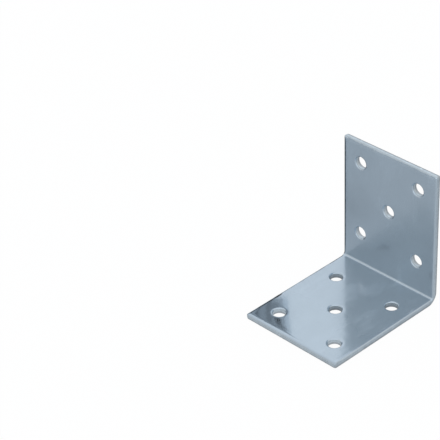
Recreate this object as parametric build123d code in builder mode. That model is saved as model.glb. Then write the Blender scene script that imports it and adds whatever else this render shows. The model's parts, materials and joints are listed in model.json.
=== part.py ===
"""
Angle bracket pressed from one piece of zinc-plated steel sheet, in millimetres.

The base leg lies flat along Y with its free edge at -Y, and the wall leg stands at +Y.
X runs across the width and Z is up. The origin is the middle of the base leg's underside.
"""

import os
from math import sqrt

from build123d import *

# Legs, each measured from the heel's outer face to its free edge
base_leg = 50.0
wall_leg = 50.0
width = 40.0
sheet = 2.0

# Fold, where the press stretches the sheet a little
inside_bend_radius = 0.8
bend_thinning = 0.3

# Sheared outline: a rolled rim on the inside, a clean band, and a torn band down to the outside
rim_rollover = 0.5
corner_flank = 0.2
torn_band = 0.8
torn_setback = 0.08

# Punched screw holes: a rectangle of four and one in its middle, alike on both legs
hole_diameter = 4.5
hole_rollover = 0.5
hole_torn_band = 0.9
hole_breakout = 0.12
screws_across = 25.0
screws_along = 28.0
edge_to_screws = 8.0

# The sheet is thinnest across the fold, so its outside radius is larger than a plain bend's
outside_bend_radius = inside_bend_radius + sheet + bend_thinning / (sqrt(2) - 1)
corner_radius = rim_rollover + corner_flank
base_edge = -base_leg / 2
heel = base_leg / 2
edge_to_pattern = edge_to_screws + screws_along / 2

# Where the planes of the legs' faces meet, as the Y and Z of a line along X
outside_line = (heel, 0)
inside_line = (heel - sheet, sheet)


def sheet_faces(bracket, line):
    """The base, wall and bend faces on the side of the sheet whose planes meet in a line"""
    y, z = line
    faces = bracket.faces()
    base = faces.filter_by(Plane.XY).sort_by(lambda face: abs(face.center().Z - z))[0]
    wall = faces.filter_by(Plane.XZ).sort_by(lambda face: abs(face.center().Y - y))[0]
    bend = faces.sort_by_distance((0, y, z))[0]
    return base, wall, bend


def hole_rims(face):
    """The round edges of a leg face's holes"""
    return face.edges().filter_by(lambda edge: edge.is_closed)


with BuildPart() as angle_bracket:
    # Folded section of the sheet
    with BuildSketch(Plane.YZ) as section:
        with BuildLine():
            Polyline(
                (base_edge, 0),
                outside_line,
                (heel, wall_leg),
                (heel - sheet, wall_leg),
                inside_line,
                (base_edge, sheet),
                close=True,
            )
        make_face()
        fillet(section.vertices().sort_by_distance(outside_line)[0], outside_bend_radius)
        fillet(section.vertices().sort_by_distance(inside_line)[0], inside_bend_radius)
    extrude(amount=width / 2, both=True)

    # Corners of the blank
    base_corners = angle_bracket.edges().filter_by(Axis.Z).group_by(Axis.Y)[0]
    wall_corners = angle_bracket.edges().filter_by(Axis.Y).group_by(Axis.Z)[-1]
    fillet(base_corners + wall_corners, corner_radius)

    # Rolled rim, which runs on from the base leg's edges across the fold and round the wall leg
    base_face, wall_face, bend_face = sheet_faces(angle_bracket, inside_line)
    fillet(base_face.edges() - bend_face.edges(), rim_rollover)

    # Torn band, which runs round the outside in the same way
    base_face, wall_face, bend_face = sheet_faces(angle_bracket, outside_line)
    torn_edges = base_face.edges() - bend_face.edges()
    chamfer(torn_edges, length=torn_setback, length2=torn_band, reference=base_face)

    # Screw holes, punched from the inside of the angle
    base_pattern = Plane((0, base_edge + edge_to_pattern, sheet))
    wall_pattern = Plane(
        (0, heel - sheet, wall_leg - edge_to_pattern), x_dir=(1, 0, 0), z_dir=(0, -1, 0)
    )
    for pattern in (base_pattern, wall_pattern):
        with Locations(pattern):
            Hole(hole_diameter / 2, depth=sheet)
            with GridLocations(screws_across, screws_along, 2, 2):
                Hole(hole_diameter / 2, depth=sheet)

    # Rolled rim where the punch went in, and torn band where it broke out
    base_face, wall_face, bend_face = sheet_faces(angle_bracket, inside_line)
    fillet(hole_rims(base_face) + hole_rims(wall_face), hole_rollover)
    base_face, wall_face, bend_face = sheet_faces(angle_bracket, outside_line)
    for face in (base_face, wall_face):
        chamfer(hole_rims(face), length=hole_breakout, length2=hole_torn_band, reference=face)

angle_bracket.part.label = "angle_bracket"

os.makedirs("parts", exist_ok=True)
export_step(angle_bracket.part, "parts/angle_bracket.step")
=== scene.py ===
"""
Looks of an angle bracket pressed from zinc-plated steel sheet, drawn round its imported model.

The sheet is drawn the way a press shop makes it. A flat blank is laid out as a fine net, its screw
holes are punched, its sheared edge is carried round the outline, and the blank is folded.
On the flat blank X runs across the width, Y along the strip from the base leg's free edge to the
wall leg's, with 0 in the middle of the blank, and Z through the sheet from its outside face.
"""

import json
from math import cos, pi, radians, sin

import bmesh
import bpy
from bpy.props import FloatProperty, FloatVectorProperty, IntProperty, PointerProperty
from mathutils import Matrix, Vector


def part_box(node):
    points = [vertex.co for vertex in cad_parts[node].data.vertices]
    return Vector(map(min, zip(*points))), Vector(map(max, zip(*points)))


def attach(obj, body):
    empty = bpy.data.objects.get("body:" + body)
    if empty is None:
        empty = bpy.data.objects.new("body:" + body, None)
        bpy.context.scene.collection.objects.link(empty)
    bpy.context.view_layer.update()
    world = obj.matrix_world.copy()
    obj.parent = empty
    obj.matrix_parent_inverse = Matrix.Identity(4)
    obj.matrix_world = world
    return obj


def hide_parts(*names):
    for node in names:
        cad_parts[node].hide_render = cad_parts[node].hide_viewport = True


bl_info = {
    "name": "Pressed Angle Bracket",
    "version": (1, 0, 0),
    "blender": (4, 5, 0),
    "location": "3D View > Sidebar > Bracket",
    "description": "Draws a punched and folded zinc-plated angle bracket and the studio round it",
    "category": "Add Mesh",
}

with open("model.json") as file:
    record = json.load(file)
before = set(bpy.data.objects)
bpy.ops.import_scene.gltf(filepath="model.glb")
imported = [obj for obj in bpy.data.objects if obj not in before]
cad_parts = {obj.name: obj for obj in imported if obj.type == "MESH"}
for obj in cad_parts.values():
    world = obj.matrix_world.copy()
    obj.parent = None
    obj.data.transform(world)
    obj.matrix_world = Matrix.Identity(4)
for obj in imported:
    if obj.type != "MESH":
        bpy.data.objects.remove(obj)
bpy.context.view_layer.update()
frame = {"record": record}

MM = 0.001
NODE = "angle_bracket"
MOUNTS = {mount["name"]: mount for mount in frame["record"]["mounts"]}
LOWEST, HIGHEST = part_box(NODE)
BASE_SCREWS = MOUNTS["base_screws"]
WALL_SCREWS = MOUNTS["wall_screws"]

# Named values that the drawn sheet carries for its finish
FLAT_PLACE = "flat_place"
SHEARED = "sheared"

# What the second number of a profile's point says of the sheet there
FACE = 0.0
CLEAN_CUT = 1.0
TORN = 2.0

# Sizes that the sheet's tree hands on to the fold's and to the rim's
FOLD_SIZES = ("Gauge", "Inside Radius", "Outside Radius", "Edge Bulge", "Waviness", "Raggedness")
RIM_SIZES = ("Corner Radius", "Roll Width", "Left Roll", "Right Roll", "Front Roll")

# Points nearer than a hair to each other are one
HAIR = 0.01 * MM

# How many times per metre the sheet swells, and the torn band breaks
SWELL_SCALE = 60.0
TEAR_SCALE = 1300.0


class SheetSettings(bpy.types.PropertyGroup):
    """Sizes of the pressed sheet, and the colour of its plating"""

    width: FloatProperty(
        name="Width",
        description="Width of both legs, sheared a little over the nominal one",
        default=HIGHEST.x - LOWEST.x + 0.2 * MM,
        subtype="DISTANCE",
        unit="LENGTH",
    )
    base_leg: FloatProperty(
        name="Base Leg",
        description="Length of the leg that lies down, from the heel",
        default=HIGHEST.y - LOWEST.y,
        subtype="DISTANCE",
        unit="LENGTH",
    )
    wall_leg: FloatProperty(
        name="Wall Leg",
        description="Length of the leg that stands up, from the heel",
        default=HIGHEST.z - LOWEST.z,
        subtype="DISTANCE",
        unit="LENGTH",
    )
    gauge: FloatProperty(
        name="Gauge",
        description="Thickness of the sheet",
        default=BASE_SCREWS["pos_m"][2],
        subtype="DISTANCE",
        unit="LENGTH",
    )
    inside_radius: FloatProperty(
        name="Inside Radius",
        description="Radius of the fold inside the angle",
        default=0.8 * MM,
        subtype="DISTANCE",
        unit="LENGTH",
    )
    outside_radius: FloatProperty(
        name="Outside Radius",
        description="Radius of the fold at the heel, where the sheet is drawn thin",
        default=3.524 * MM,
        subtype="DISTANCE",
        unit="LENGTH",
    )
    corner_radius: FloatProperty(
        name="Corner Radius",
        description="Radius of the blank's corners",
        default=0.7 * MM,
        subtype="DISTANCE",
        unit="LENGTH",
    )
    hole_radius: FloatProperty(
        name="Hole Radius",
        description="Radius of the punch",
        default=BASE_SCREWS["dims"]["hole_r_mm"] * MM,
        subtype="DISTANCE",
        unit="LENGTH",
    )
    edge_bulge: FloatProperty(
        name="Edge Bulge",
        description="How far the fold presses the sheet's edges outwards inside the angle",
        default=0.12 * MM,
        subtype="DISTANCE",
        unit="LENGTH",
    )
    waviness: FloatProperty(
        name="Waviness",
        description="How far the sheet's faces wander from flat",
        default=0.03 * MM,
        subtype="DISTANCE",
        unit="LENGTH",
    )
    raggedness: FloatProperty(
        name="Raggedness",
        description="How rough the torn band of the cut is",
        default=0.035 * MM,
        subtype="DISTANCE",
        unit="LENGTH",
    )
    grain: IntProperty(
        name="Grain",
        description="Seed of the sheet's waviness and torn edges",
        default=7,
        min=0,
    )
    plate_colour: FloatVectorProperty(
        name="Plate Colour",
        description="Colour of the plating, a little bluer than bare steel",
        default=(0.49, 0.56, 0.62),
        min=0.0,
        max=1.0,
        subtype="COLOR",
    )


class StudioSettings(bpy.types.PropertyGroup):
    """Where the picture is taken from, and what the metal sees round it"""

    camera_place: FloatVectorProperty(
        name="Camera Place",
        description="Where the camera stands",
        default=(0.33535, -0.36475, 0.36221),
        subtype="TRANSLATION",
        unit="LENGTH",
    )
    camera_aim: FloatVectorProperty(
        name="Camera Aim",
        description="The point in the middle of the picture",
        default=(-0.032831, -0.023134, 0.032722),
        subtype="TRANSLATION",
        unit="LENGTH",
    )
    camera_roll: FloatProperty(
        name="Camera Roll",
        description="How far the camera is turned about its line of sight",
        default=radians(-2.556),
        subtype="ANGLE",
        unit="ROTATION",
    )
    lens: FloatProperty(
        name="Lens",
        description="Focal length on a sensor 36 mm wide",
        default=149.486,
        min=1.0,
        subtype="DISTANCE_CAMERA",
    )
    floor_colour: FloatVectorProperty(
        name="Floor Colour",
        description="Pale grey of the floor under the studio light",
        default=(0.56, 0.61, 0.66),
        min=0.0,
        max=1.0,
        subtype="COLOR",
    )
    floor_lit: FloatVectorProperty(
        name="Lit Floor Colour",
        description="The floor in front of the bracket and at its right, as the metal sees it",
        default=(0.66, 0.695, 0.73),
        min=0.0,
        max=1.0,
        subtype="COLOR",
    )
    room_lit: FloatVectorProperty(
        name="Lit Room",
        description="Colour of the room at the back left and the front right, a little cool",
        default=(0.94, 0.99, 1.045),
        min=0.0,
        soft_max=1.0,
        subtype="COLOR",
    )
    room_dim: FloatVectorProperty(
        name="Dim Room",
        description="Colour of the room at the front left and the back right",
        default=(0.81, 0.82, 0.825),
        min=0.0,
        soft_max=1.0,
        subtype="COLOR",
    )
    flag_corner: FloatVectorProperty(
        name="Flag Corner",
        description="Where the standing screen at the left begins, on the floor",
        default=(-0.0324, 0.0087, 0.0),
        subtype="TRANSLATION",
        unit="LENGTH",
    )
    flag_turn: FloatProperty(
        name="Flag Turn",
        description="How far the screen, which runs off towards -X, is turned towards the front",
        default=radians(43.5),
        subtype="ANGLE",
        unit="ROTATION",
    )
    flag_height: FloatProperty(
        name="Flag Height",
        description="Height of the screen",
        default=0.045,
        subtype="DISTANCE",
        unit="LENGTH",
    )


def add_node(tree, kind, inputs=None, **settings):
    """A new node in a tree. An input is a value, a socket or a node whose first output is used."""
    node = tree.nodes.new(kind)
    for name, value in settings.items():
        setattr(node, name, value)
    for key, value in (inputs or {}).items():
        feed(tree, node.inputs[key], value)
    return node


def feed(tree, socket, value):
    """Links a socket or node to an input, or sets the input to a plain value"""
    if isinstance(value, bpy.types.Node):
        value = value.outputs[0]
    if isinstance(value, bpy.types.NodeSocket):
        tree.links.new(value, socket)
    else:
        socket.default_value = value


def calc(tree, operation, *values):
    """Arithmetic on numbers"""
    return add_node(tree, "ShaderNodeMath", dict(enumerate(values)), operation=operation)


def vector_calc(tree, operation, *values):
    """Arithmetic on vectors"""
    node = add_node(tree, "ShaderNodeVectorMath", operation=operation)
    sockets = [socket for socket in node.inputs if socket.enabled]
    for socket, value in zip(sockets, values):
        feed(tree, socket, value)
    return node


def stretch(tree, vector, factor):
    """A vector made longer or shorter by a factor"""
    node = vector_calc(tree, "SCALE", vector)
    feed(tree, node.inputs["Scale"], factor)
    return node


def split(tree, vector):
    """The X, Y and Z of a vector"""
    return add_node(tree, "ShaderNodeSeparateXYZ", {0: vector}).outputs


def combine(tree, x=0.0, y=0.0, z=0.0):
    """A vector from its X, Y and Z"""
    return add_node(tree, "ShaderNodeCombineXYZ", {0: x, 1: y, 2: z})


def blend(tree, share, start, end, kind="FLOAT"):
    """A number, vector or colour part of the way from one to another"""
    node = add_node(tree, "ShaderNodeMix", data_type=kind, clamp_factor=False)
    sockets = [socket for socket in node.inputs if socket.enabled]
    for socket, value in zip(sockets, (share, start, end)):
        feed(tree, socket, value)
    return next(socket for socket in node.outputs if socket.enabled)


def blend_vectors(tree, share, start, end):
    """A vector part of the way from one to another"""
    return blend(tree, share, start, end, "VECTOR")


def blend_colours(tree, share, start, end):
    """A colour part of the way from one to another"""
    return blend(tree, share, start, end, "RGBA")


def ramp(tree, value, low, high, start=0.0, end=1.0, kind="SMOOTHSTEP"):
    """Goes from start to end, and no further, while a value goes from low to high"""
    return add_node(
        tree,
        "ShaderNodeMapRange",
        {"Value": value, "From Min": low, "From Max": high, "To Min": start, "To Max": end},
        interpolation_type=kind,
    )


def noise(tree, place, seed, scale, detail=2.0, roughness=0.5):
    """Smooth noise from -1 to 1 with a seed of its own"""
    node = add_node(
        tree,
        "ShaderNodeTexNoise",
        {"Vector": place, "W": seed, "Scale": scale, "Detail": detail, "Roughness": roughness},
        noise_dimensions="4D",
    )
    return calc(tree, "MULTIPLY_ADD", node.outputs["Fac"], 2.0, -1.0)


def attribute(tree, name, kind="FLOAT_VECTOR"):
    """A value that the mesh carries, by its name"""
    return add_node(tree, "GeometryNodeInputNamedAttribute", {"Name": name}, data_type=kind)


def store(tree, geometry, name, value, kind="FLOAT_VECTOR"):
    """The mesh or curve with a value stored on its points"""
    return add_node(
        tree,
        "GeometryNodeStoreNamedAttribute",
        {"Geometry": geometry, "Name": name, "Value": value},
        data_type=kind,
        domain="POINT",
    )


def place_points(tree, geometry, place):
    """The mesh or curve with its points moved to their places"""
    return add_node(tree, "GeometryNodeSetPosition", {"Geometry": geometry, "Position": place})


def join(tree, *parts):
    """Several meshes as one"""
    node = add_node(tree, "GeometryNodeJoinGeometry")
    for part in parts:
        feed(tree, node.inputs[0], part)
    return node


def shift(tree, geometry, offset):
    """The mesh moved by a vector"""
    return add_node(tree, "GeometryNodeTransform", {"Geometry": geometry, "Translation": offset})


def new_tree(name, **inputs):
    """A geometry tree with one mesh as its output, and with its inputs' names listed by kind"""
    tree = bpy.data.node_groups.new(name, "GeometryNodeTree")
    for kind, labels in inputs.items():
        for label in labels:
            tree.interface.new_socket(label, in_out="INPUT", socket_type="NodeSocket" + kind)
    tree.interface.new_socket("Geometry", in_out="OUTPUT", socket_type="NodeSocketGeometry")
    return tree, tree.nodes.new("NodeGroupInput").outputs


def finish_tree(tree, geometry):
    """Links the mesh to the tree's output"""
    output = tree.nodes.new("NodeGroupOutput")
    feed(tree, output.inputs[0], geometry)
    return tree


def use_tree(tree, group, inputs):
    """A group's node in a tree, with its inputs by name"""
    return add_node(tree, "GeometryNodeGroup", inputs, node_tree=group)


def pick(given, *labels):
    """Some of a tree's inputs, to hand on under the same names"""
    return {label: given[label] for label in labels}


def draw_in(tree, reach, margin):
    """The blank's reach in X and Y, less a margin"""
    return vector_calc(tree, "SUBTRACT", reach, combine(tree, margin, margin))


def within(tree, point, reach, margin):
    """The nearest place to a point in the blank's rectangle, drawn in by a margin"""
    high = draw_in(tree, reach, margin)
    low = stretch(tree, high, -1.0)
    return vector_calc(tree, "MAXIMUM", vector_calc(tree, "MINIMUM", point, high), low)


def mark_tree():
    """The punch marks of both legs, as loose points on the flat blank"""
    tree, given = new_tree(
        "Punch Marks", Float=["Across", "Along"], Vector=["Base Pattern", "Wall Pattern"]
    )
    four = add_node(
        tree, "GeometryNodeMeshGrid", {0: given["Across"], 1: given["Along"], 2: 2, 3: 2}
    )
    one = add_node(tree, "GeometryNodeMeshLine", {"Count": 1})
    five = join(tree, four, one)
    base = shift(tree, five, given["Base Pattern"])
    wall = shift(tree, five, given["Wall Pattern"])
    return finish_tree(tree, join(tree, base, wall))


def nearest_mark(tree, marks, place):
    """The punch mark nearest to a place"""
    index = add_node(tree, "GeometryNodeSampleNearest", {0: marks, 1: place}, domain="POINT")
    position = add_node(tree, "GeometryNodeInputPosition")
    return add_node(
        tree,
        "GeometryNodeSampleIndex",
        {"Geometry": marks, "Value": position, "Index": index},
        data_type="FLOAT_VECTOR",
        domain="POINT",
    )


def net_tree():
    """The blank's flat net inside its rim, with a square window round each punch mark"""
    tree, given = new_tree(
        "Blank Net",
        Geometry=["Marks"],
        Vector=["Reach"],
        Float=["Rim", "Window"],
        Int=["Cells Across", "Cells Along"],
    )
    inner = draw_in(tree, given["Reach"], given["Rim"])
    size = split(tree, vector_calc(tree, "ADD", inner, inner))
    net = add_node(
        tree,
        "GeometryNodeMeshGrid",
        {
            0: size["X"],
            1: size["Y"],
            2: calc(tree, "ADD", given["Cells Across"], 1.0),
            3: calc(tree, "ADD", given["Cells Along"], 1.0),
        },
    )
    place = add_node(tree, "GeometryNodeInputPosition")
    mark = nearest_mark(tree, given["Marks"], place)
    away = vector_calc(tree, "ABSOLUTE", vector_calc(tree, "SUBTRACT", place, mark))
    away = split(tree, away)
    inside = calc(
        tree, "LESS_THAN", calc(tree, "MAXIMUM", away["X"], away["Y"]), given["Window"]
    )
    windows = add_node(
        tree, "GeometryNodeDeleteGeometry", {0: net, 1: inside}, domain="FACE", mode="ALL"
    )
    return finish_tree(tree, windows)


def sweep(tree, loops, profile):
    """Loops swept by a profile: each point knows its loop's place and its profile's point"""
    position = add_node(tree, "GeometryNodeInputPosition")
    drawn = add_node(tree, "GeometryNodeObjectInfo", {"Object": profile})
    return add_node(
        tree,
        "GeometryNodeCurveToMesh",
        {
            0: store(tree, loops, "place", position),
            1: store(tree, drawn.outputs["Geometry"], "cut", position),
        },
    )


def at_net_edge(tree, place, reach, rim):
    """For X and for Y, 1 where a place is on the net's outer boundary or past it, and 0 inside"""
    tolerance = 0.1 * MM
    from_middle = vector_calc(tree, "ABSOLUTE", place)
    past = split(tree, vector_calc(tree, "SUBTRACT", from_middle, draw_in(tree, reach, rim)))
    return [calc(tree, "GREATER_THAN", past[axis], -tolerance) for axis in "XY"]


def boundary(tree, net, reach, rim, outer):
    """The net's outer boundary, or the boundaries of its windows, as closed curves"""
    place = add_node(tree, "GeometryNodeInputPosition")
    at_outline = calc(tree, "MAXIMUM", *at_net_edge(tree, place, reach, rim))
    wanted = at_outline if outer else calc(tree, "SUBTRACT", 1.0, at_outline)
    faces = add_node(tree, "GeometryNodeInputMeshEdgeNeighbors")
    open_edge = calc(tree, "COMPARE", faces, 1.0, 0.5)
    chosen = calc(tree, "MULTIPLY", open_edge, wanted)
    return add_node(tree, "GeometryNodeMeshToCurve", {0: net, 1: chosen})


def outline_tree():
    """The sheared rim, swept round the blank's outline with its corners rounded"""
    tree, given = new_tree(
        "Sheared Rim",
        Geometry=["Net"],
        Object=["Profile"],
        Vector=["Reach"],
        Float=["Rim", *RIM_SIZES],
        Int=["Corner Steps"],
    )
    reach, rim, corner = given["Reach"], given["Rim"], given["Corner Radius"]
    place = add_node(tree, "GeometryNodeInputPosition")
    at_x, at_y = at_net_edge(tree, place, reach, rim)
    edge = boundary(tree, given["Net"], reach, rim, outer=True)

    # The boundary is pushed out square to the outline, and its four corner points are rounded
    push = vector_calc(tree, "MULTIPLY", combine(tree, at_x, at_y), combine(tree, rim, rim))
    push = vector_calc(tree, "MULTIPLY", push, vector_calc(tree, "SIGN", place))
    square = place_points(tree, edge, vector_calc(tree, "ADD", place, push))
    at_corner = calc(tree, "MULTIPLY", at_x, at_y)
    rounded = add_node(
        tree,
        "GeometryNodeFilletCurve",
        {
            "Curve": square,
            "Count": given["Corner Steps"],
            "Radius": calc(tree, "MULTIPLY", at_corner, corner),
        },
        mode="POLY",
    )

    # Each profile point is drawn in from the outline by its X, and lies at its Z in the sheet.
    # The rolled rim is widest on the wall leg's free edge, and has a share of that on the others.
    strip = sweep(tree, rounded, given["Profile"])
    cut = split(tree, attribute(tree, "cut"))
    outline = attribute(tree, "place").outputs[0]
    outward = vector_calc(tree, "SUBTRACT", outline, within(tree, outline, reach, corner))
    outward = vector_calc(tree, "NORMALIZE", outward)
    lean = split(tree, outward)
    share = 1.0
    for axis, sign, label in (("X", -1.0, "Left"), ("X", 1.0, "Right"), ("Y", -1.0, "Front")):
        facing = calc(tree, "MAXIMUM", calc(tree, "MULTIPLY", lean[axis], sign), 0.0)
        share = blend(tree, facing, share, given[label + " Roll"])
    roll_end = calc(tree, "ADD", given["Roll Width"], HAIR)
    in_roll = calc(tree, "LESS_THAN", cut["X"], roll_end)
    depth = calc(tree, "MULTIPLY", cut["X"], blend(tree, in_roll, 1.0, share))
    drawn_in = within(tree, outline, reach, calc(tree, "MAXIMUM", depth, corner))
    round_part = calc(tree, "MAXIMUM", calc(tree, "SUBTRACT", corner, depth), 0.0)
    flat = vector_calc(tree, "ADD", drawn_in, stretch(tree, outward, round_part))
    lifted = vector_calc(tree, "ADD", flat, combine(tree, z=cut["Z"]))
    strip = store(tree, place_points(tree, strip, lifted), SHEARED, cut["Y"], "FLOAT")
    return finish_tree(tree, strip)


def hole_tree():
    """The punched holes, each swept from its window in to the punch's cut and out again below"""
    tree, given = new_tree(
        "Punched Holes",
        Geometry=["Net", "Marks"],
        Object=["Profile"],
        Vector=["Reach"],
        Float=["Rim", "Hole Radius", "Collar"],
    )
    windows = boundary(tree, given["Net"], given["Reach"], given["Rim"], outer=False)
    strip = sweep(tree, windows, given["Profile"])
    cut = split(tree, attribute(tree, "cut"))
    window = attribute(tree, "place").outputs[0]
    mark = nearest_mark(tree, given["Marks"], window)
    outward = vector_calc(tree, "NORMALIZE", vector_calc(tree, "SUBTRACT", window, mark))
    radius = calc(tree, "ADD", given["Hole Radius"], cut["X"])
    circle = vector_calc(tree, "ADD", mark, stretch(tree, outward, radius))

    # Round the hole up to the collar, and beyond it on the window's square
    past_collar = calc(tree, "GREATER_THAN", cut["X"], given["Collar"])
    flat = blend_vectors(tree, past_collar, circle, window)
    lifted = vector_calc(tree, "ADD", flat, combine(tree, z=cut["Z"]))
    strip = store(tree, place_points(tree, strip, lifted), SHEARED, cut["Y"], "FLOAT")
    return finish_tree(tree, strip)


def fold_tree():
    """Folds the flat blank up at the heel, thinned there by the press"""
    tree, given = new_tree(
        "Press Fold",
        Geometry=["Blank"],
        Vector=["Reach", "Heel"],
        Float=["Fold Line", *FOLD_SIZES],
        Int=["Grain"],
    )
    gauge, inside, outside = given["Gauge"], given["Inside Radius"], given["Outside Radius"]
    position = add_node(tree, "GeometryNodeInputPosition")
    flat = split(tree, position)
    along = calc(tree, "SUBTRACT", flat["Y"], given["Fold Line"])

    # How far a place lies out on the base leg, round the fold (0 to 1) and up the wall leg
    base_run = calc(tree, "MINIMUM", calc(tree, "ADD", along, outside), 0.0)
    wall_run = calc(tree, "MAXIMUM", calc(tree, "SUBTRACT", along, outside), 0.0)
    turned = ramp(tree, along, calc(tree, "MULTIPLY", outside, -1.0), outside, kind="LINEAR")

    # The outside face is one arc. The inside face's tighter arc has a short flat at either end.
    right_angle = pi / 2
    flat_end = 0.08
    arc_end = 1.0 - flat_end
    thinned = calc(tree, "SUBTRACT", calc(tree, "SUBTRACT", outside, inside), gauge)
    before = ramp(tree, turned, 0.0, flat_end, end=thinned, kind="LINEAR")
    after = ramp(tree, turned, arc_end, 1.0, end=thinned, kind="LINEAR")
    inner_turned = ramp(tree, turned, flat_end, arc_end, end=right_angle, kind="LINEAR")
    outer_turned = calc(tree, "MULTIPLY", turned, right_angle)

    def face(radius, angle, lead, rise, height):
        """A place on one face, from the heel's corner of the base plane"""
        y = calc(tree, "MULTIPLY_ADD", calc(tree, "SINE", angle), radius, lead)
        y = calc(tree, "SUBTRACT", calc(tree, "ADD", y, base_run), outside)
        drop = calc(tree, "MULTIPLY", calc(tree, "COSINE", angle), radius)
        z = calc(tree, "SUBTRACT", calc(tree, "ADD", radius, height), drop)
        z = calc(tree, "ADD", calc(tree, "ADD", z, rise), wall_run)
        return vector_calc(tree, "ADD", given["Heel"], combine(tree, flat["X"], y, z))

    outer = face(outside, outer_turned, 0.0, 0.0, 0.0)
    inner = face(inside, inner_turned, before, after, gauge)
    share = calc(tree, "DIVIDE", flat["Z"], gauge)
    folded = blend_vectors(tree, share, outer, inner)

    # Inside the angle the metal is squeezed out past the edges, and at the heel it draws in
    hump = calc(tree, "SINE", calc(tree, "MULTIPLY", turned, pi))
    lean = calc(tree, "SUBTRACT", share, 0.5)
    half_width = split(tree, given["Reach"])["X"]
    bulge_start = calc(tree, "SUBTRACT", half_width, 5.0 * MM)
    near_edge = ramp(tree, calc(tree, "ABSOLUTE", flat["X"]), bulge_start, half_width)
    bulge = calc(tree, "MULTIPLY", calc(tree, "MULTIPLY", hump, lean), near_edge)
    bulge = calc(tree, "MULTIPLY", bulge, calc(tree, "SIGN", flat["X"]))
    bulge = calc(tree, "MULTIPLY", bulge, calc(tree, "MULTIPLY", given["Edge Bulge"], 2.0))
    folded = vector_calc(tree, "ADD", folded, combine(tree, bulge))

    # Rolled sheet is never quite flat
    on_sheet = combine(tree, flat["X"], flat["Y"])
    swell = noise(tree, on_sheet, given["Grain"], SWELL_SCALE, detail=1.0)
    through = vector_calc(tree, "NORMALIZE", vector_calc(tree, "SUBTRACT", inner, outer))
    swell = stretch(tree, through, calc(tree, "MULTIPLY", swell, given["Waviness"]))
    folded = vector_calc(tree, "ADD", folded, swell)

    # The finish reads places on the unrolled sheet, measured from the middle of the fold
    arc_length = calc(tree, "MULTIPLY", calc(tree, "ADD", inside, outside), right_angle / 2)
    past_middle = calc(tree, "SUBTRACT", turned, 0.5)
    rolled_out = calc(tree, "MULTIPLY_ADD", past_middle, arc_length, base_run)
    rolled_out = calc(tree, "ADD", rolled_out, wall_run)
    unrolled = combine(tree, flat["X"], rolled_out, flat["Z"])
    blank = store(tree, given["Blank"], FLAT_PLACE, unrolled)
    bracket = place_points(tree, blank, folded)

    # The torn band is ragged along the cut
    all_torn = CLEAN_CUT + 0.4 * (TORN - CLEAN_CUT)
    torn = ramp(tree, attribute(tree, SHEARED, "FLOAT"), CLEAN_CUT, all_torn)
    rag = noise(tree, position, given["Grain"], TEAR_SCALE, detail=2.0)
    depth = calc(tree, "MULTIPLY", calc(tree, "MULTIPLY", rag, torn), given["Raggedness"])
    offset = stretch(tree, add_node(tree, "GeometryNodeInputNormal"), depth)
    ragged = add_node(tree, "GeometryNodeSetPosition", {"Geometry": bracket, "Offset": offset})
    return finish_tree(tree, ragged)


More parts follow.
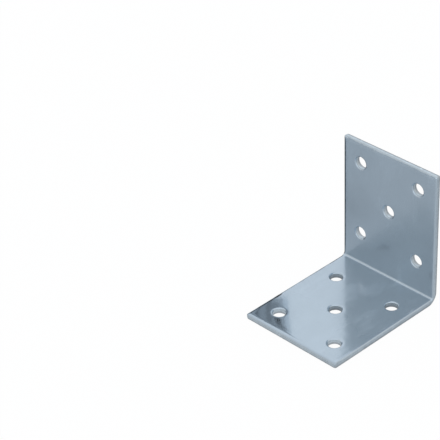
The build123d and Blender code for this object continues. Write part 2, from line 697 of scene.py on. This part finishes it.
def sheet_tree():
    """The whole sheet, from its punch marks to the folded bracket in one mesh"""
    tree, given = new_tree(
        "Pressed Sheet",
        Geometry=["Geometry"],
        Vector=["Heel"],
        Float=[
            "Width",
            "Base Leg",
            "Wall Leg",
            "Holes Across",
            "Holes Along",
            "Base Pattern",
            "Wall Pattern",
            "Hole Radius",
            "Rim",
            "Window",
            "Collar",
            "Cell",
            *FOLD_SIZES,
            *RIM_SIZES,
        ],
        Int=["Corner Steps", "Grain"],
        Object=["Rim Profile", "Hole Profile"],
        Material=["Finish"],
    )
    base_leg, wall_leg, rim = given["Base Leg"], given["Wall Leg"], given["Rim"]
    half_length = calc(tree, "MULTIPLY", calc(tree, "ADD", base_leg, wall_leg), 0.5)
    half_width = calc(tree, "MULTIPLY", given["Width"], 0.5)
    reach = combine(tree, half_width, half_length)
    fold_line = calc(tree, "SUBTRACT", base_leg, half_length)

    # Each pattern's centre is measured from the fold line
    marks = use_tree(
        tree,
        mark_tree(),
        {
            "Across": given["Holes Across"],
            "Along": given["Holes Along"],
            "Base Pattern": combine(
                tree, y=calc(tree, "SUBTRACT", fold_line, given["Base Pattern"])
            ),
            "Wall Pattern": combine(tree, y=calc(tree, "ADD", fold_line, given["Wall Pattern"])),
        },
    )

    def cells(half):
        """How many cells the net has on the two halves of a side"""
        side = calc(tree, "MULTIPLY", calc(tree, "SUBTRACT", half, rim), 2.0)
        return calc(tree, "ROUND", calc(tree, "DIVIDE", side, given["Cell"]))

    net = use_tree(
        tree,
        net_tree(),
        {
            "Marks": marks,
            "Reach": reach,
            "Cells Across": cells(half_width),
            "Cells Along": cells(half_length),
            **pick(given, "Rim", "Window"),
        },
    )
    outline = use_tree(
        tree,
        outline_tree(),
        {
            "Net": net,
            "Profile": given["Rim Profile"],
            "Reach": reach,
            **pick(given, "Rim", "Corner Steps", *RIM_SIZES),
        },
    )
    holes = use_tree(
        tree,
        hole_tree(),
        {
            "Net": net,
            "Marks": marks,
            "Profile": given["Hole Profile"],
            "Reach": reach,
            **pick(given, "Rim", "Hole Radius", "Collar"),
        },
    )

    # The net is the outside face, and a copy of it the inside face
    inside_face = shift(tree, net, combine(tree, z=given["Gauge"]))
    parts = join(tree, net, inside_face, outline, holes)
    blank = add_node(tree, "GeometryNodeMergeByDistance", {0: parts, "Distance": HAIR})
    bracket = use_tree(
        tree,
        fold_tree(),
        {
            "Blank": blank,
            "Reach": reach,
            "Fold Line": fold_line,
            **pick(given, "Heel", "Grain", *FOLD_SIZES),
        },
    )
    edge_angle = add_node(tree, "GeometryNodeInputMeshEdgeAngle")
    sharp = calc(tree, "GREATER_THAN", edge_angle, radians(35))
    smooth = add_node(tree, "GeometryNodeSetShadeSmooth", {0: bracket, 2: True}, domain="FACE")
    creased = add_node(
        tree, "GeometryNodeSetShadeSmooth", {0: smooth, 1: sharp, 2: False}, domain="EDGE"
    )
    real = add_node(tree, "GeometryNodeRealizeInstances", {0: creased})
    finished = add_node(tree, "GeometryNodeSetMaterial", {0: real, "Material": given["Finish"]})
    return finish_tree(tree, finished)


def cut_profile(
    name, gauge, flats, roll_width, roll_depth, fullness, torn_height, torn_setback, foot_radius
):
    """
    A curve through one side of a cut, from the inside face down to the outside face. X runs from
    the cut into the sheet, Y says what the sheet is like there, and Z is the height in the sheet.
    """
    roll_steps = 12
    clean_steps = 3
    torn_steps = 6
    points = [(reach, FACE, gauge) for reach in flats]
    for step in range(roll_steps + 1):
        share = sin(step / roll_steps * pi / 2)
        drop = roll_depth * (1 - (1 - share**fullness) ** (1 / fullness))
        band = CLEAN_CUT * step / roll_steps
        points.append((roll_width * (1 - share), band, gauge - drop))
    clean_height = gauge - roll_depth - torn_height
    for step in range(1, clean_steps + 1):
        points.append((0.0, CLEAN_CUT, torn_height + clean_height * (1 - step / clean_steps)))
    for step in range(1, torn_steps + 1):
        share = step / torn_steps
        height = torn_height - (torn_height - foot_radius) * share
        points.append((torn_setback * share, CLEAN_CUT + (TORN - CLEAN_CUT) * share, height))

    # The cut's foot is rounded, and a little past it begins the outside face with its own finish
    points.append((torn_setback + 0.3 * foot_radius, TORN, 0.3 * foot_radius))
    points.append((torn_setback + foot_radius, TORN, 0.0))
    points.append((torn_setback + 4 * foot_radius, FACE, 0.0))
    points += [(reach, FACE, 0.0) for reach in reversed(flats)]
    curve = bpy.data.curves.new(name, "CURVE")
    curve.dimensions = "3D"
    spline = curve.splines.new("POLY")
    spline.points.add(len(points) - 1)
    for point, place in zip(spline.points, points):
        point.co = (*place, 1.0)
    return bpy.data.objects.new(name, curve)


class BRACKET_OT_press_sheet(bpy.types.Operator):
    """Draws the punched and folded sheet, with its sheared rim and its holes' rolled entries"""

    bl_idname = "bracket.press_sheet"
    bl_label = "Press Sheet"

    def execute(self, context):
        size = context.scene.bracket_sheet
        roll_width = 1.8 * MM

        # The net ends at the rim and at the windows, and a hole's profile is round to its collar
        rim = 2.0 * MM
        window = 5.0 * MM
        collar = 2.1 * MM
        rim_profile = cut_profile(
            "Sheared rim profile",
            size.gauge,
            flats=[rim, roll_width + 0.1 * MM],
            roll_width=roll_width,
            roll_depth=0.5 * MM,
            fullness=1.6,
            torn_height=0.8 * MM,
            torn_setback=0.2 * MM,
            foot_radius=0.1 * MM,
        )
        hole_profile = cut_profile(
            "Punched hole profile",
            size.gauge,
            flats=[window, 1.9 * MM, 1.3 * MM],
            roll_width=0.62 * MM,
            roll_depth=0.4 * MM,
            fullness=1.8,
            torn_height=0.9 * MM,
            torn_setback=0.02 * MM,
            foot_radius=0.04 * MM,
        )
        heel = Vector((0.0, HIGHEST.y, LOWEST.z))
        values = {
            "Width": size.width,
            "Base Leg": size.base_leg,
            "Wall Leg": size.wall_leg,
            "Gauge": size.gauge,
            "Inside Radius": size.inside_radius,
            "Outside Radius": size.outside_radius,
            "Corner Radius": size.corner_radius,
            "Hole Radius": size.hole_radius,
            "Holes Across": BASE_SCREWS["dims"]["spacing_x_mm"] * MM,
            "Holes Along": BASE_SCREWS["dims"]["spacing_y_mm"] * MM,
            "Base Pattern": heel.y - BASE_SCREWS["pos_m"][1],
            "Wall Pattern": WALL_SCREWS["pos_m"][2] - heel.z,
            "Heel": heel,
            "Rim": rim,
            "Window": window,
            "Collar": collar,
            "Cell": 0.5 * MM,
            "Corner Steps": 6,
            "Roll Width": roll_width,
            "Left Roll": 0.68,
            "Right Roll": 0.22,
            "Front Roll": 0.85,
            "Edge Bulge": size.edge_bulge,
            "Waviness": size.waviness,
            "Raggedness": size.raggedness,
            "Grain": size.grain,
            "Rim Profile": rim_profile,
            "Hole Profile": hole_profile,
            "Finish": zinc_material(size.plate_colour),
        }
        sheet = bake_tree(context, sheet_tree(), "pressed_sheet", values)
        for profile in (rim_profile, hole_profile):
            bpy.data.curves.remove(profile.data)
        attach(sheet, "root")
        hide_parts(NODE)
        return {"FINISHED"}


def bake_tree(context, tree, name, values):
    """A new object with the mesh that a tree draws from the given values"""
    piece = bpy.data.objects.new(name, bpy.data.meshes.new(name))
    modifier = piece.modifiers.new(tree.name, "NODES")
    modifier.node_group = tree
    for item in tree.interface.items_tree:
        if item.name in values:
            modifier[item.identifier] = values[item.name]
    context.scene.collection.objects.link(piece)
    drawn = piece.evaluated_get(context.evaluated_depsgraph_get())
    mesh = bpy.data.meshes.new_from_object(drawn)
    piece.modifiers.remove(modifier)
    blank_mesh = piece.data
    piece.data = mesh
    bpy.data.meshes.remove(blank_mesh)
    mesh.name = name
    face_outwards(mesh)
    return piece


def face_outwards(mesh):
    """Turns every face of a closed mesh outwards"""
    bm = bmesh.new()
    bm.from_mesh(mesh)
    bmesh.ops.recalc_face_normals(bm, faces=bm.faces)
    bm.to_mesh(mesh)
    bm.free()


def weigh(tree, *pairs):
    """The sum of some values, each times its weight"""
    total = 0.0
    for value, weight in pairs:
        total = calc(tree, "MULTIPLY_ADD", value, weight, total)
    return total


def scratch_marks(tree, flat, turn, seed):
    """1 along a few long thin scratches that run one way over the sheet, and 0 beside them"""
    turned = add_node(tree, "ShaderNodeMapping", {"Vector": flat, "Rotation": (0.0, 0.0, turn)})
    drawn = vector_calc(tree, "MULTIPLY", turned, (1.0, 0.07, 1.0))
    line = calc(tree, "ABSOLUTE", noise(tree, drawn, seed, 260.0, detail=1.0))
    here = noise(tree, turned, seed + 1.0, 90.0, detail=0.0)
    return calc(tree, "MULTIPLY", ramp(tree, line, 0.022, 0.0), ramp(tree, here, 0.22, 0.4))


def zinc_material(plate_colour):
    """Bright bluish zinc over rolled steel, rougher and greyer where the sheet was sheared"""
    material = bpy.data.materials.new("Bright zinc plate")
    material.use_nodes = True
    tree = material.node_tree
    shader = tree.nodes["Principled BSDF"]
    shader.inputs["Metallic"].default_value = 1.0

    # The flat place has its Y along the rolling and its Z through the sheet, also round the fold
    flat = add_node(tree, "ShaderNodeAttribute", attribute_name=FLAT_PLACE).outputs["Vector"]
    cut = add_node(tree, "ShaderNodeAttribute", attribute_name=SHEARED).outputs["Fac"]
    rolled = ramp(tree, cut, 0.15, 0.6)
    clean = ramp(tree, cut, 0.75, 1.0)
    torn = ramp(tree, cut, CLEAN_CUT, CLEAN_CUT + 0.35 * (TORN - CLEAN_CUT))

    # Faces: clouds in the plating, rolling streaks, an uneven skin and a fine grain
    clouds = noise(tree, flat, 3.0, 95.0, detail=3.0)
    streaks = noise(tree, vector_calc(tree, "MULTIPLY", flat, (1.0, 0.03, 1.0)), 5.0, 900.0)
    skin = noise(tree, flat, 11.0, 420.0, detail=1.0)
    grain = noise(tree, flat, 8.0, 2600.0, detail=1.0)
    scratches = calc(
        tree,
        "MAXIMUM",
        scratch_marks(tree, flat, radians(24.0), 17.0),
        scratch_marks(tree, flat, radians(-62.0), 23.0),
    )

    # A few wiped smears lie along the sheet, and the fold is painted brighter: the press's nose
    # burnishes it, and the brightening is also a painted highlight along the fold's bright line
    wiped = noise(tree, vector_calc(tree, "MULTIPLY", flat, (1.0, 0.4, 1.0)), 37.0, 150.0)
    smears = ramp(tree, wiped, 0.12, 0.5)
    across, along, _ = split(tree, flat)
    fold = ramp(tree, calc(tree, "ABSOLUTE", along), 1.6 * MM, 0.8 * MM)

    # Cuts: strokes through the sheet on the clean band, a coarse break on the torn one, small
    # dents along them all, and a few bright spots painted in as glints
    strokes = noise(tree, vector_calc(tree, "MULTIPLY", flat, (1.0, 1.0, 0.12)), 13.0, 1300.0)
    broken = noise(tree, flat, 19.0, 1700.0, detail=3.0, roughness=0.65)
    dents = noise(tree, vector_calc(tree, "MULTIPLY", flat, (1.0, 1.0, 0.3)), 31.0, 420.0)
    painted_glints = ramp(tree, noise(tree, flat, 41.0, 800.0), 0.3, 0.45)

    tone = weigh(tree, (clouds, 0.075), (streaks, 0.025), (grain, 0.01), (scratches, 0.06))
    # The fold's share of the tone is partly burnish and partly a painted highlight
    tone = weigh(tree, (smears, 0.07), (fold, 0.05), (tone, 1.0))

    # Painted light on the rolled rims: painted brighter as a sheen, but painted darker, as shade,
    # on the base leg's free edge
    painted_rim_light = ramp(tree, along, -47 * MM, -44 * MM, -0.13, 0.07)
    # Painted sheen and painted shade on the rolled rims
    tone = calc(tree, "MULTIPLY_ADD", rolled, painted_rim_light, tone)

    # One small spot on the base leg's left edge is painted near black
    black_spot = (-19.4 * MM, -33.4 * MM, 1.7 * MM)
    black_spot_shape = (1.0, 0.35, 0.7)
    from_black_spot = vector_calc(tree, "SUBTRACT", flat, black_spot)
    from_black_spot = vector_calc(tree, "MULTIPLY", from_black_spot, black_spot_shape)
    from_black_spot = vector_calc(tree, "LENGTH", from_black_spot).outputs["Value"]
    tone = calc(tree, "MULTIPLY_ADD", ramp(tree, from_black_spot, 0.8 * MM, 0.35 * MM), -0.9, tone)

    # The clean band and the torn one have tones and colours of their own
    # Both cut bands carry the painted glints in their tone
    cut_marks_and_glints = weigh(tree, (strokes, 0.18), (broken, 0.06), (dents, 0.22), (painted_glints, 0.3))
    tone = blend(tree, clean, tone, cut_marks_and_glints)
    break_marks_and_glints = weigh(tree, (broken, 0.35), (strokes, 0.08), (dents, 0.18), (painted_glints, 0.3))
    tone = blend(tree, torn, tone, break_marks_and_glints)
    clean_colour = (0.54, 0.60, 0.64, 1.0)
    torn_colour = (0.46, 0.485, 0.505, 1.0)
    colour = blend_colours(tree, clean, (*plate_colour, 1.0), clean_colour)
    colour = blend_colours(tree, torn, colour, torn_colour)
    colour = stretch(tree, colour, calc(tree, "ADD", tone, 1.0))
    feed(tree, shader.inputs["Base Color"], colour)

    # Fine hazy spots among mirror-bright ones make both a sharp and a soft reflection. The plating
    # is glossiest at the base leg's front left corner, and duller towards the wall leg and right.
    spots = ramp(tree, noise(tree, flat, 29.0, 7000.0, detail=0.0), -0.2, 0.2)
    haze = blend(tree, spots, 0.07, ramp(tree, along, -46 * MM, -18 * MM, 0.15, 0.3))
    dulling = ramp(tree, along, -40 * MM, 15 * MM, 0.0, 0.11)
    dulling = calc(tree, "ADD", dulling, ramp(tree, across, 5 * MM, 20 * MM, 0.0, 0.035))
    gloss = weigh(tree, (haze, 1.0), (dulling, 1.0), (clouds, 0.06), (scratches, 0.1))
    gloss = calc(tree, "MULTIPLY_ADD", smears, 0.1, gloss)
    gloss = blend(tree, rolled, gloss, 0.12)
    gloss = blend(tree, clean, gloss, weigh(tree, (strokes, 0.08), (1.0, 0.36)))
    gloss = blend(tree, torn, gloss, weigh(tree, (broken, 0.12), (1.0, 0.5)))
    feed(tree, shader.inputs["Roughness"], gloss)

    # Heights in millimetres
    relief = weigh(tree, (skin, 0.009), (streaks, 0.0004), (scratches, -0.002))
    uneven = weigh(tree, (strokes, 0.02), (dents, 0.11))
    relief = calc(tree, "MULTIPLY_ADD", uneven, rolled, relief)
    relief = calc(tree, "MULTIPLY_ADD", calc(tree, "MULTIPLY", broken, torn), 0.06, relief)
    bump = add_node(tree, "ShaderNodeBump", {"Height": relief, "Distance": MM})
    feed(tree, shader.inputs["Normal"], bump)
    return material


class BRACKET_OT_set_stage(bpy.types.Operator):
    """Sets the floor, the room's light and the camera"""

    bl_idname = "bracket.set_stage"
    bl_label = "Set Stage"

    def execute(self, context):
        studio = context.scene.bracket_studio
        context.scene.view_settings.view_transform = "Standard"
        light_room(context.scene, studio)
        lay_floor(context, studio)
        set_flags(context, studio)
        place_camera(context, studio)
        return {"FINISHED"}


def light_room(scene, studio):
    """A white room for the camera, lit along one diagonal for the metal and the floor"""
    world = bpy.data.worlds.new("Studio room")
    world.use_nodes = True
    scene.world = world
    tree = world.node_tree
    tree.nodes.clear()
    x, y, z = split(tree, add_node(tree, "ShaderNodeTexCoord").outputs["Generated"])
    diagonal = ramp(tree, calc(tree, "MULTIPLY", x, y), 0.3, -0.1)
    room = blend_colours(tree, diagonal, (*studio.room_dim, 1.0), (*studio.room_lit, 1.0))
    path = add_node(tree, "ShaderNodeLightPath")

    # At the back left the foot of the room is dark, and shows as thin lines on the rolled edges
    foot = calc(tree, "MULTIPLY", ramp(tree, z, 0.25, 0.0), ramp(tree, x, 0.0, -0.4))
    foot = calc(tree, "MULTIPLY", foot, ramp(tree, y, -0.2, 0.4))
    foot = calc(tree, "MULTIPLY", foot, path.outputs["Is Glossy Ray"])
    room = blend_colours(tree, foot, room, (0.16, 0.18, 0.2, 1.0))
    seen = blend_colours(tree, path.outputs["Is Camera Ray"], room, (1.0, 1.0, 1.0, 1.0))
    background = add_node(tree, "ShaderNodeBackground", {"Color": seen})
    add_node(tree, "ShaderNodeOutputWorld", {"Surface": background})


def lay_floor(context, studio):
    """A pale floor that the camera sees as white, with the bracket's shadow left on it"""
    half = 1.5
    gap = 0.05 * MM
    mesh = bpy.data.meshes.new("Studio floor")
    corners = [(-half, -half, 0), (half, -half, 0), (half, half, 0), (-half, half, 0)]
    mesh.from_pydata(corners, [], [(0, 1, 2, 3)])
    floor = bpy.data.objects.new("studio_floor", mesh)
    floor.location.z = LOWEST.z - gap
    context.scene.collection.objects.link(floor)
    material = bpy.data.materials.new("Pale studio floor")
    material.use_nodes = True
    tree = material.node_tree
    tree.nodes.clear()
    path = add_node(tree, "ShaderNodeLightPath")
    paint = add_node(tree, "ShaderNodeBsdfDiffuse", {"Color": (*studio.floor_colour, 1.0)})
    # To the metal the floor is mostly a glow, whose colour holds painted light and painted shade
    glow = add_node(tree, "ShaderNodeEmission", {"Color": mirrored_floor(tree, studio)})
    glow_share = calc(tree, "MULTIPLY", path.outputs["Is Glossy Ray"], 0.85)
    mirrored = add_node(tree, "ShaderNodeMixShader", {0: glow_share, 1: paint, 2: glow})

    # To the camera it glows almost white, and only the little that is lit can be in shadow
    shadow_depth = 0.045
    grey = (shadow_depth, shadow_depth, shadow_depth, 1.0)
    white = add_node(tree, "ShaderNodeEmission", {"Strength": 1.0 - shadow_depth})
    shade = add_node(tree, "ShaderNodeBsdfDiffuse", {"Color": grey})
    seen = add_node(tree, "ShaderNodeAddShader", {0: white, 1: shade})
    mixed = add_node(
        tree, "ShaderNodeMixShader", {0: path.outputs["Is Camera Ray"], 1: mirrored, 2: seen}
    )
    add_node(tree, "ShaderNodeOutputMaterial", {"Surface": mixed})
    floor.data.materials.append(material)


def mirrored_floor(tree, studio):
    """The floor's colour as the metal sees it, a glow with painted light and painted shade in it
    """
    x, y, _ = split(tree, add_node(tree, "ShaderNodeTexCoord").outputs["Object"])

    # Painted light: brightest in front and at the right, and from in front the painted light also
    # gets in underneath
    in_front = ramp(tree, y, -9 * MM, -13 * MM)
    beside = ramp(tree, x, LOWEST.x - 8 * MM, LOWEST.x, 0.3, 1.0)
    at_right = ramp(tree, x, HIGHEST.x, HIGHEST.x + 2 * MM)
    at_right = calc(tree, "MULTIPLY", at_right, ramp(tree, y, 60 * MM, 25 * MM, 0.5, 1.0))
    lit = calc(tree, "MAXIMUM", calc(tree, "MULTIPLY", in_front, beside), at_right)
    colour = blend_colours(tree, lit, (*studio.floor_colour, 1.0), (*studio.floor_lit, 1.0))

    # Painted shade: dim further back underneath, a soft painted shadow at the left, and dim far
    # away
    past_side = ramp(tree, calc(tree, "ABSOLUTE", x), HIGHEST.x - MM, HIGHEST.x + MM)
    past_heel = ramp(tree, y, HIGHEST.y - MM, HIGHEST.y + MM)
    past_front = ramp(tree, y, LOWEST.y + MM, LOWEST.y - MM)
    open_floor = calc(tree, "MAXIMUM", calc(tree, "MAXIMUM", past_side, past_heel), past_front)
    under = blend(tree, open_floor, blend(tree, in_front, 0.7, 1.25), 1.0)
    place = combine(tree, x, y)
    from_patch = vector_calc(tree, "DISTANCE", place, (-42 * MM, -2 * MM, 0.0)).outputs["Value"]
    patch = ramp(tree, from_patch, 4 * MM, 18 * MM, 0.82, 1.0)
    from_middle = vector_calc(tree, "LENGTH", place).outputs["Value"]
    far = ramp(tree, from_middle, 0.15, 0.4, 1.0, 0.85)
    # Painted shade under the plate, painted shadow at the left and dimming far away
    shade = calc(tree, "MULTIPLY", calc(tree, "MULTIPLY", under, patch), far)
    return stretch(tree, colour, shade)


def set_flags(context, studio):
    """Dark cards at the left that only show in the metal, as streaks on the base's corner"""
    corner = Vector(studio.flag_corner)
    corner.z = LOWEST.z
    turn = studio.flag_turn

    def on_screen(along, up, out=0.0):
        """A place on the standing screen, by its run and height, or that far in front of it"""
        return corner + Vector(
            (out * sin(turn) - along * cos(turn), -out * cos(turn) - along * sin(turn), up)
        )

    # Each slat of the standing screen: where its foot and its head end along the screen, how high
    # its foot hangs, and its brightness where white is 1
    slats = [
        (2.9 * MM, 1.2 * MM, 19 * MM, 0.74),
        (5.2 * MM, 1.6 * MM, 19 * MM, 0.45),
        (7.8 * MM, 5.2 * MM, 16 * MM, 0.45),
        (9.6 * MM, 8.2 * MM, 12 * MM, 0.26),
        (11.4 * MM, 11.4 * MM, 5 * MM, 0.40),
        (12.8 * MM, 12.8 * MM, 0.0, 0.18),
        (18.0 * MM, 18.0 * MM, 0.0, 0.44),
        (20.0 * MM, 20.0 * MM, 0.0, 0.22),
        (48.0 * MM, 48.0 * MM, 0.0, 0.40),
    ]
    foot_start = 1.0 * MM
    head_start = 0.0
    for foot_end, head_end, foot_height, brightness in slats:
        points = [
            on_screen(foot_start, foot_height),
            on_screen(foot_end, foot_height),
            on_screen(head_end, studio.flag_height),
            on_screen(head_start, studio.flag_height),
        ]
        lay_card(context, "studio_slat", points, brightness)
        foot_start, head_start = foot_end, head_end

    # In front of the screen hang a black wedge, a dark tab below it, and low down dark strips that
    # only the left rim shows. Each is given by its corners' runs and heights, in millimetres.
    hung = [
        ([(4.1, 26.5), (6.1, 26.5), (4.7, 31.5), (1.0, 37.5), (0.7, 36.0), (3.4, 31.5)], 0.0),
        ([(3.8, 21.5), (6.8, 21.0), (7.2, 25.0), (4.6, 25.5)], 0.31),
        ([(7.0, 3.0), (20.0, 3.0), (20.0, 14.0), (7.0, 14.0)], 0.04),
        ([(20.0, 3.0), (26.0, 3.0), (26.0, 14.0), (20.0, 14.0)], 0.3),
    ]
    for corners, brightness in hung:
        points = [on_screen(run * MM, height * MM, 0.3 * MM) for run, height in corners]
        lay_card(context, "studio_tab", points, brightness)

    # The lying card begins behind the wall leg's left edge, with a pale one at its front
    back_corner = Vector((LOWEST.x - MM, HIGHEST.y - 2.0 * MM, LOWEST.z + 0.3 * MM))
    reach = 90.0 * MM
    for near, far, brightness in ((-0.6, 0.8, 0.03), (-0.85, -0.6, 0.66)):
        points = [
            back_corner,
            back_corner + reach * Vector((-1.0, near, 0.0)),
            back_corner + reach * Vector((-1.0, far, 0.0)),
        ]
        lay_card(context, "studio_floor_card", points, brightness)


def lay_card(context, name, points, brightness):
    """A bluish card of one brightness, which only the metal sees"""
    mesh = bpy.data.meshes.new(name)
    mesh.from_pydata(points, [], [tuple(range(len(points)))])
    card = bpy.data.objects.new(name, mesh)
    card.visible_camera = False
    card.visible_diffuse = False
    card.visible_shadow = False
    context.scene.collection.objects.link(card)
    material = bpy.data.materials.new(name)
    material.use_nodes = True
    tree = material.node_tree
    tree.nodes.clear()
    tint = (0.86 * brightness, 0.98 * brightness, 1.1 * brightness, 1.0)
    glow = add_node(tree, "ShaderNodeEmission", {"Color": tint})
    add_node(tree, "ShaderNodeOutputMaterial", {"Surface": glow})
    mesh.materials.append(material)


def place_camera(context, studio):
    """The camera at the picture's place, aimed at its middle"""
    data = bpy.data.cameras.new("Camera")
    data.sensor_width = 36.0
    data.lens = studio.lens
    data.clip_start = 0.01
    data.clip_end = 10.0
    camera = bpy.data.objects.new("Camera", data)
    place = Vector(studio.camera_place)
    sight = Vector(studio.camera_aim) - place
    level = sight.to_track_quat("-Z", "Y").to_matrix()
    turned = level @ Matrix.Rotation(studio.camera_roll, 3, "Z")
    camera.matrix_world = Matrix.Translation(place) @ turned.to_4x4()
    context.scene.collection.objects.link(camera)
    context.scene.camera = camera


class BRACKET_PT_panel(bpy.types.Panel):
    """The bracket's steps in their order, each below its settings"""

    bl_label = "Angle Bracket"
    bl_idname = "BRACKET_PT_panel"
    bl_space_type = "VIEW_3D"
    bl_region_type = "UI"
    bl_category = "Bracket"

    def draw(self, context):
        steps = (
            (context.scene.bracket_sheet, BRACKET_OT_press_sheet),
            (context.scene.bracket_studio, BRACKET_OT_set_stage),
        )
        for settings, step in steps:
            box = self.layout.box()
            for name in type(settings).__annotations__:
                box.prop(settings, name)
            box.operator(step.bl_idname)


CLASSES = (
    SheetSettings,
    StudioSettings,
    BRACKET_OT_press_sheet,
    BRACKET_OT_set_stage,
    BRACKET_PT_panel,
)


def register():
    for cls in CLASSES:
        bpy.utils.register_class(cls)
    bpy.types.Scene.bracket_sheet = PointerProperty(type=SheetSettings)
    bpy.types.Scene.bracket_studio = PointerProperty(type=StudioSettings)


def unregister():
    del bpy.types.Scene.bracket_studio
    del bpy.types.Scene.bracket_sheet
    for cls in reversed(CLASSES):
        bpy.utils.unregister_class(cls)


def main():
    register()
    bpy.ops.bracket.press_sheet()
    bpy.ops.bracket.set_stage()


if __name__ == "__main__":
    main()
